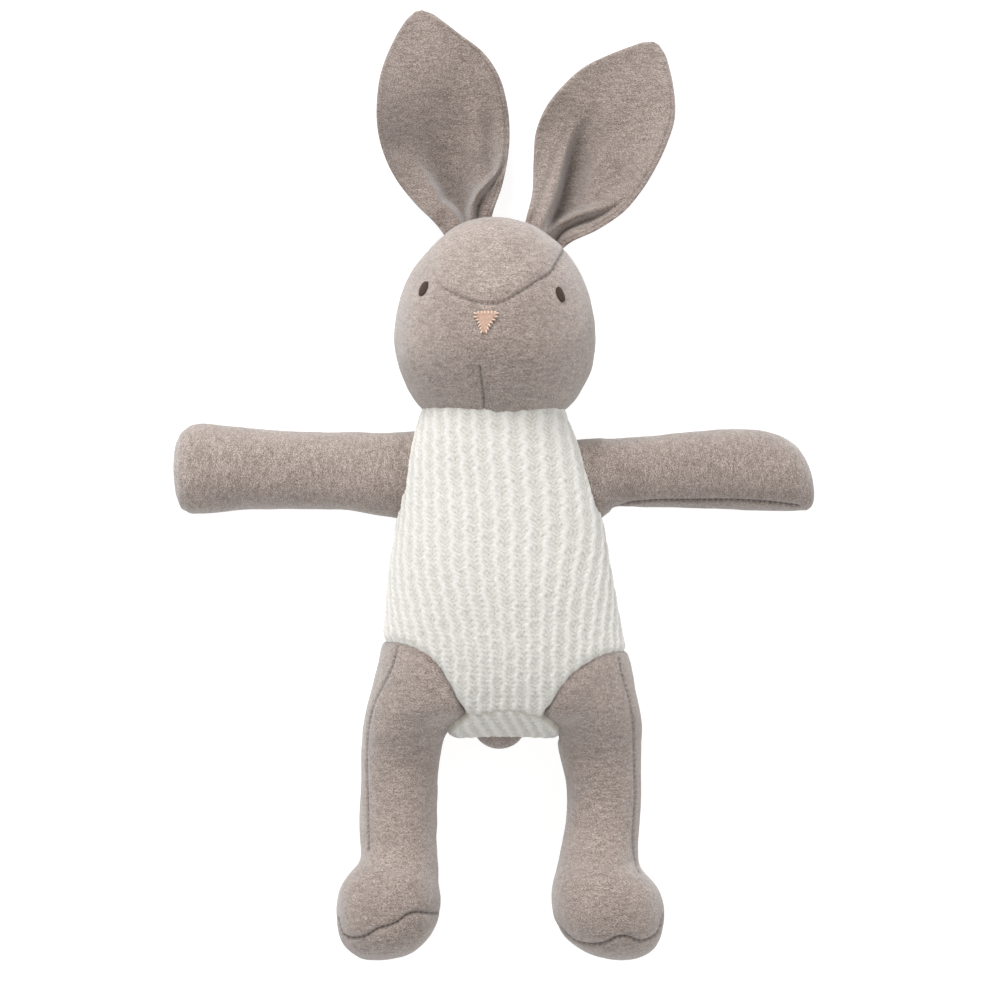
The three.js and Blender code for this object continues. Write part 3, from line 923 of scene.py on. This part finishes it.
def make_arm(name, rows, shoulder, seam, shade_all):
    """A stuffed arm with a seam along its lower edge; its last argument is painted shade over all of
    it.
    """
    rows = [(shoulder + math.copysign(1, shoulder) * distance, *rest) for distance, *rest in rows]
    obj = arm_form(f"{name}_arm_cloth", rows)
    points, normals = read_surface(obj)
    points = points + normals * (0.8 * lumps(points + 40, FLEECE_LUMPS))[:, None]
    gap, along = beside_seam(points, seam)
    facing = smoothstep(10, 15, points[:, 2])
    near = bell(gap, 0.55) * facing
    points -= normals * (0.8 * near + 0.35 * bell(gap, 2.2) * facing)[:, None]
    rim = bell(np.abs(points[:, 0]) - abs(shoulder), 3.0)
    write_points(obj, points)
    # Painted shade: in the seam at its stitch holes, at the shoulder's root, and over the whole arm.
    paint(obj, "shade", np.clip(0.8 * near * stitched(along) + 0.15 * rim + shade_all, 0, 1))
    return dress(obj, ARM_FLEECE)


def thigh_radius(y, turn, centre_x, centre_z):
    """Distance from the leg's middle line to the body form, sideways in each direction."""
    x, z, side, rise = profile(BODY, y).T
    low, high = np.zeros(len(turn)), np.full(len(turn), THIGH_REACH)
    for _ in range(18):
        middle = (low + high) / 2
        u = np.abs(centre_x + middle * np.cos(turn) - x) / side
        up = centre_z + middle * np.sin(turn) - z
        reach = np.where(up < 0, np.minimum(rise, z - BODY_OFF_SURFACE), rise)
        v = np.abs(up) / np.maximum(reach, 0.1)
        inside = u**BODY_FULLNESS + v**BODY_FULLNESS < 1
        low, high = np.where(inside, middle, low), np.where(inside, high, middle)
    return low


def leg_form(name, rows):
    """A leg lofted along y, whose upper end takes the body form's own outline."""
    rows = sorted(rows)
    place = np.arange(rows[0][0], rows[-1][0] + LEG_STEP / 2, LEG_STEP)
    turn = full_turn(AROUND)
    c, s = np.cos(turn), np.sin(turn)
    sections = []
    for y, (x, z, side, rise) in zip(place, profile(rows, place)):
        up = np.where(s < 0, min(rise, z - LIMB_OFF_SURFACE), rise)
        radius = 1 / np.sqrt((c / side) ** 2 + (s / up) ** 2)
        share = float(smoothstep(*THIGH_BLEND, y))
        if share > 0:
            body = thigh_radius(np.full(AROUND, max(y, THIGH_LOWEST)), turn, x, z)
            radius = radius * (1 - share) + body * share
        sections.append(np.stack([x + radius * c, np.full(AROUND, y), z + radius * s], axis=-1))
    return loft(name, sections, AROUND)


def foot_form(centre, half, lean):
    """A squarish ball that rises by lean for each mm towards +X."""
    directions, faces = cube_sphere(24)
    reach = (np.abs(directions) ** FOOT_FULLNESS).sum(1) ** (-1 / FOOT_FULLNESS)
    points = directions * reach[:, None] * half
    points[:, 1] += lean * points[:, 0]
    return closed_ball("foot_form", points + centre, faces)


def make_leg(name, rows, foot, seam, sole_seam):
    """A stuffed leg with its foot, a seam down its outer side and one across the foot."""
    name = f"{name}_leg_cloth"
    obj = with_modifiers(
        joined(name, [leg_form(name, rows), foot_form(*foot)]),
        ("REMESH", {"mode": "VOXEL", "voxel_size": LEG_VOXEL}),
        ("SMOOTH", {"factor": 0.6, "iterations": 40}),
        ("SUBSURF", {"levels": 1, "render_levels": 1}),
    )
    points, normals = read_surface(obj)
    points = points + normals * lumps(points - 40, FLEECE_LUMPS)[:, None]
    gap = past_opening(points)
    thigh = smoothstep(-66, -60, points[:, 1])
    dip = thigh * (4 * smoothstep(-1.2, 3.5, gap) - 0.5 * smoothstep(0, -5, gap))
    front = smoothstep(22, 27, points[:, 2])
    points -= normals * dip[:, None]
    seam_gap, seam_along = beside_seam(points, seam)
    near = bell(seam_gap, 0.55) * smoothstep(8, 14, points[:, 2])
    points -= normals * (0.45 * near)[:, None]
    sole_gap, sole_along = beside_seam(points, sole_seam)
    sole = bell(sole_gap, 0.65) * smoothstep(20, 30, points[:, 2])
    points -= normals * (0.9 * sole + 0.5 * bell(sole_gap, 3) * front)[:, None]
    edge = bell(gap, 0.9) * thigh
    write_points(obj, points)
    # Painted shade: in the side seam and the sole seam at their stitch holes, darker towards the feet,
    # and along the opening's edge.
    sole_shade = 0.75 * sole * stitched(sole_along) + 0.07 * smoothstep(-100, -118, points[:, 1])
    paint(obj, "shade", np.clip(0.6 * near * stitched(seam_along) + sole_shade + 0.4 * edge, 0, 1))
    return dress(obj, FLEECE)


# ---- ears


def fold_height(flat, line, tall, reach_left, reach_right):
    """Height of one fold of an ear, which fades over its reach on each side of its line."""
    curve = smooth_line(line)
    gap, along = beside_line(flat, curve)
    nearest = np.argmin(((flat[:, None, :] - curve[None, ::3, :]) ** 2).sum(-1), axis=1) * 3
    nearest = np.minimum(nearest, len(curve) - 2)
    way = curve[nearest + 1] - curve[nearest]
    off = flat - curve[nearest]
    turned = way[:, 0] * off[:, 1] - way[:, 1] * off[:, 0]
    reach = np.where(turned < 0, reach_left, reach_right)
    return tall * smoothstep(0, 0.7, along / walked_along(curve)[-1]) * bell(gap, reach)


def sheet_faces(rows, columns):
    """Faces of a closed sheet: a grid of points, the same grid under it, and a wall round both."""
    count = rows * columns
    quads = grid_faces(rows, columns, closed=False)
    edge = np.r_[
        np.arange(columns),
        np.arange(1, rows) * columns + columns - 1,
        (rows - 1) * columns + np.arange(columns - 2, -1, -1),
        np.arange(rows - 2, 0, -1) * columns,
    ]
    after = np.roll(edge, -1)
    wall = np.stack([edge, edge + count, after + count, after], axis=-1)
    return np.concatenate([quads, quads[:, ::-1] + count, wall])


def make_ear(name, rows, joint, folds, heading, lean, shade_all, hollow_shade):
    """A leaf of two sewn cloths, cupped, with folds towards its base.

    It leans sideways by lean; its last two arguments are painted shade over all of it and over the
    hollow in its middle.
    """
    turn = math.radians(heading)
    way = np.array([-math.sin(turn), math.cos(turn)])
    base = pivot(joint)[:2] - EAR_SET_IN * way

    # The flat leaf: across from its left edge to its right one, and along from its base to its tip.
    first, length = rows[0][0], rows[-1][0]
    share = np.linspace(-1, 1, AROUND)
    share = np.sign(share) * (1 - (1 - np.abs(share)) ** 1.15)
    place = first + (length - first) * (1 - (1 - np.linspace(0, 1, EAR_ROWS)) ** 1.12)
    left, right, height = profile(rows, place).T
    u = left[:, None] + (right - left)[:, None] * (share[None] + 1) / 2
    flat = np.c_[u.ravel(), np.repeat(place, AROUND)]
    across = np.tile(share, EAR_ROWS)
    along = np.clip(flat[:, 1] / length, 0, 1)

    # Its height over the surface: cup, lean, folds and lumps.
    cup = EAR_CUP * np.sin(math.pi * along**0.75) ** 0.9 * np.abs(across) ** 2.4
    rise = np.repeat(height, AROUND) + cup + lean * flat[:, 0] / 25 * np.sin(math.pi * along)
    folded = sum(fold_height(flat, *fold) for fold in folds)
    rise += folded
    rise += lumps(np.c_[flat, np.zeros(len(flat))], EAR_LUMPS)

    # Two cloths that meet in a rounded rim, with a line of stitches inside it.
    inset = (1 - np.abs(across)) * np.repeat((right - left) / 2, AROUND)
    inset = np.minimum(inset, (length - flat[:, 1]) * 0.8 + 0.3)
    seam = bell(inset - 2.0, 0.5) * smoothstep(86, 70, flat[:, 1])
    seam *= 0.4 + 0.6 * smoothstep(-0.2, 0.2, across)
    rim = np.clip(inset / 2.6, 0, 1)
    half = EAR_THICKNESS / 2 * np.sqrt(1 - (1 - rim) ** 2) - 0.3 * seam + 0.05
    bottom = np.maximum(rise - half, 0.25)
    top = np.maximum(rise + half, bottom + 0.3)
    x = base[0] + flat[:, 0] * math.cos(turn) + flat[:, 1] * way[0]
    y = base[1] + flat[:, 0] * math.sin(turn) + flat[:, 1] * way[1]
    points = np.concatenate([np.c_[x, y, top], np.c_[x, y, bottom]])
    obj = flip_if_inside_out(new_mesh(name, points, sheet_faces(EAR_ROWS, AROUND)))

    # Painted shade: in the line of stitches, in the folds' hollows, over the whole ear, and in its
    # hollow middle.
    deep = np.clip(-folded / 7, 0, 1)
    hollow = smoothstep(72, 18, flat[:, 1]) * smoothstep(1.0, 0.2, np.abs(across))
    shade = 0.22 * seam + 0.2 * deep + shade_all + hollow_shade * hollow
    paint(obj, "shade", np.clip(np.tile(shade, 2), 0, 0.92))
    return dress(obj, FLEECE)


# ---- tail, eyes, nose


def make_tail():
    """A small stuffed ball, gathered round its root."""
    low, high = (np.array(corner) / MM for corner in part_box("tail_cover"))
    centre, half = (low + high) / 2 - (0, TAIL_DROP, 0), (high - low) / 2
    directions, faces = cube_sphere(44)
    turn = np.arctan2(directions[:, 2], directions[:, 0])
    gathered = 0.5 * smoothstep(0.2, 0.9, directions[:, 1]) * np.cos(TAIL_GATHERS * turn)
    points = directions * half + centre + directions * gathered[:, None]
    obj = closed_ball("tail_ball", points, faces)
    points, normals = read_surface(obj)
    write_points(obj, points + normals * (0.6 * lumps(points, FLEECE_LUMPS))[:, None])
    paint(obj, "shade", np.zeros(len(points)))
    return dress(obj, FLEECE)


def on_head(head, place, height):
    """The point at this height over the head's front, at a place seen from the front, in mm."""
    _, hit, normal, _ = head.ray_cast(Vector((*(place * MM), 0.2)), Vector((0, 0, -1)))
    return np.array(hit) / MM + np.array(normal) * height


def strands(name, paths, radius, material):
    """Round threads along paths in mm, as one mesh."""
    points, faces = [], []
    around = 8
    turn = full_turn(around)
    for path in paths:
        path = np.array(path, float)
        tangent = np.gradient(path, axis=0)
        tangent /= np.linalg.norm(tangent, axis=1)[:, None]
        side = np.cross(tangent, (0.12, 0.2, 1))
        side /= np.linalg.norm(side, axis=1)[:, None]
        up = np.cross(side, tangent)
        taper = np.full(len(path), radius)
        taper[[0, -1]] = radius * 0.3
        rings = [
            p + r * (np.outer(np.cos(turn), a) + np.outer(np.sin(turn), b))
            for p, r, a, b in zip(path, taper, side, up)
        ]
        faces.append(grid_faces(len(path), around, closed=True) + sum(len(p) for p in points))
        points.append(np.concatenate(rings))
    obj = new_mesh(name, np.concatenate(points), np.concatenate(faces))
    return dress(obj, material)


def make_eye(head, name, node, lean, shift):
    """Satin stitches side by side over an oval on the head, shifted from its CAD piece's middle."""
    low, high = (np.array(corner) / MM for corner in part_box(node))
    middle = (low + high)[:2] / 2 + shift
    turn = math.radians(lean)
    along = np.array([math.sin(turn), math.cos(turn)])
    across = np.array([math.cos(turn), -math.sin(turn)])
    paths = []
    for i in range(EYE_STITCHES):
        t = -1 + 2 * (i + 0.5) / EYE_STITCHES
        oval = math.sqrt(1 - t * t)
        reach = EYE_HALF_WIDTH * oval + 0.25
        path = []
        for s in np.linspace(-1, 1, 9):
            place = middle + along * (t * EYE_HALF_LENGTH + 0.18 * s) + across * s * reach
            path.append(on_head(head, place, 0.75 * (1 - s**2) * oval + 0.05))
        paths.append(path)
    return strands(name, paths, EYE_THREAD_RADIUS, EYE_THREAD)


def nose_edge(share, side):
    """A place on the patch's left or right edge, at a share of the way from its top to its tip."""
    middle = np.array(NOSE_TOP) * (1 - share) + np.array(NOSE_TIP) * share
    return middle + (side * float(profile(NOSE_HALF_WIDTHS, share)[0]), 0)


def make_nose(head):
    """A felt patch on the head's front with whip stitches over its edge."""
    rows, columns = 26, 24
    points, edges = [], []
    for share in np.linspace(0, 1, rows):
        left, right = nose_edge(share, -1), nose_edge(share, 1)
        for s in np.linspace(0, 1, columns):
            place = left * (1 - s) + right * s
            place[1] += 0.7 * (1 - share) ** 3 * math.sin(math.pi * s)
            edge = min(1, 7 * min(s, 1 - s), 9 * share + 0.15, 9 * (1 - share) + 0.15)
            edges.append(edge)
            points.append(on_head(head, place, 0.85 * edge - 0.05))
    felt = new_mesh("nose_felt", points, grid_faces(rows, columns, closed=False))
    # Painted shade on the felt along its edges, under the whip stitches.
    paint(felt, "shade", [1 - min(1, max(0, (edge - 0.2) / 0.8)) for edge in edges])
    dress(felt, NOSE_FELT)
    starts = [nose_edge(share, side) for side in (-1, 1) for share in np.linspace(0.07, 0.95, 7)]
    starts += [nose_edge(0, -1) * (1 - s) + nose_edge(0, 1) * s for s in np.linspace(0.1, 0.9, 6)]
    middle = (nose_edge(0.35, -1) + nose_edge(0.35, 1)) / 2
    paths = []
    for start in starts:
        inwards = np.array([middle[0], max(middle[1], start[1] - 0.5)]) - start
        if start[1] > NOSE_TOP[1] - 0.1:
            inwards = np.array([0.1, -1.0])
        inwards = inwards / np.linalg.norm(inwards)
        path = []
        for s in np.linspace(0, 1, 7):
            place = start + inwards * (NOSE_STITCH_LENGTH * s - 0.25)
            height = 0.1 + 0.95 * math.sin(math.pi * min(1, 0.75 * s + 0.12))
            path.append(on_head(head, place, height))
        paths.append(path)
    stitches = strands("nose_stitches", paths, NOSE_THREAD_RADIUS, NOSE_THREAD)
    return felt, stitches


# ---- build

knit_front, knit_back = make_knit()
head = make_head()
# The arms' and ears' last numbers are painted shade over them.
left_arm = make_arm("left", ARM_LEFT, SHOULDER_LEFT, ARM_SEAM_LEFT, shade_all=0.12)
right_arm = make_arm("right", ARM_RIGHT, SHOULDER_RIGHT, ARM_SEAM_RIGHT, shade_all=0.04)
left_leg = make_leg("left", LEG_LEFT, FOOT_LEFT, LEG_SEAM_LEFT, SOLE_SEAM_LEFT)
right_leg = make_leg("right", LEG_RIGHT, FOOT_RIGHT, LEG_SEAM_RIGHT, SOLE_SEAM_RIGHT)
left_ear = make_ear(
    "left_ear_cloth", EAR_LEFT, "ear_left_fold", EAR_LEFT_FOLDS,
    heading=-29.7, lean=4, shade_all=0.17, hollow_shade=0.03,
)
right_ear = make_ear(
    "right_ear_cloth", EAR_RIGHT, "ear_right_fold", EAR_RIGHT_FOLDS,
    heading=11.9, lean=-5, shade_all=0.26, hollow_shade=0.12,
)
tail = make_tail()
left_eye = make_eye(head, "left_eye_thread", "eye_left", lean=-22, shift=(-1.2, -2.5))
right_eye = make_eye(head, "right_eye_thread", "eye_right", lean=22, shift=(0.4, -0.1))
nose, nose_stitches = make_nose(head)

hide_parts("torso_knit_front", "torso_stuffing")
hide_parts("torso_knit_back")
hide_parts("head_face", "head_crown", "head_back", "head_stuffing")
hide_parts("tail_cover", "tail_stuffing")
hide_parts("eye_left")
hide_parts("eye_right")
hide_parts("nose_patch")

for piece in (knit_front, knit_back):
    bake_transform(piece)

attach(tail, "torso")
for piece in (head, left_eye, right_eye, nose, nose_stitches):
    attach(piece, "head")

for name, arm, side in (("left", left_arm, 1), ("right", right_arm, -1)):
    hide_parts(*(f"arm_{name}_{part}" for part in ("front", "back", "stuffing")))
    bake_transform(arm)
for name, leg in (("left", left_leg), ("right", right_leg)):
    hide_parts(*(f"leg_{name}_{part}" for part in ("front", "back", "sole", "stuffing")))
    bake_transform(leg)
for name, ear in (("left", left_ear), ("right", right_ear)):
    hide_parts(f"ear_{name}_inner", f"ear_{name}_outer")
    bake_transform(ear)


# ---- floor, light, camera


def make_floor():
    """A plain white floor that glows a little, just under the toy."""
    half, z = FLOOR_HALF / MM, -FLOOR_DROP / MM
    corners = [(-half, -half, z), (half, -half, z), (half, half, z), (-half, half, z)]
    floor = new_mesh("floor", corners, [[0, 1, 2, 3]])
    n = Nodes("floor")
    n.shade({
        "Base Color": (0.3, 0.3, 0.3, 1),
        "Roughness": 0.9,
        "Emission Color": (1, 1, 1, 1),
        "Emission Strength": FLOOR_GLOW,
    })
    dress(floor, n.material)


def add_to_scene(name, data, place):
    """Puts a lamp or a camera in the scene, and returns its object."""
    obj = bpy.data.objects.new(name, data)
    obj.location = place
    bpy.context.scene.collection.objects.link(obj)
    return obj


def make_light(name, place, size, power):
    """A square soft light that points at the toy's middle."""
    lamp = bpy.data.lights.new(name, "AREA")
    lamp.size = size
    lamp.energy = power
    obj = add_to_scene(name, lamp, place)
    obj.rotation_euler = (Vector(LIGHT_AIM) - obj.location).to_track_quat("-Z", "Y").to_euler()


def make_world():
    """An even white studio."""
    world = bpy.data.worlds.new("studio")
    bpy.context.scene.world = world
    world.use_nodes = True
    background = world.node_tree.nodes["Background"]
    background.inputs["Color"].default_value = (1, 1, 1, 1)
    background.inputs["Strength"].default_value = WORLD_STRENGTH


def make_camera():
    """A camera straight above, which frames FRAME_WIDTH at FRAME_HEIGHT."""
    data = bpy.data.cameras.new("camera")
    data.angle = 2 * math.atan(FRAME_WIDTH / 2 / (CAMERA_PLACE[2] - FRAME_HEIGHT))
    bpy.context.scene.camera = add_to_scene("camera", data, CAMERA_PLACE)
    bpy.context.scene.view_settings.view_transform = "Standard"


make_floor()
for light in LIGHTS:
    make_light(*light)
make_world()
make_camera()
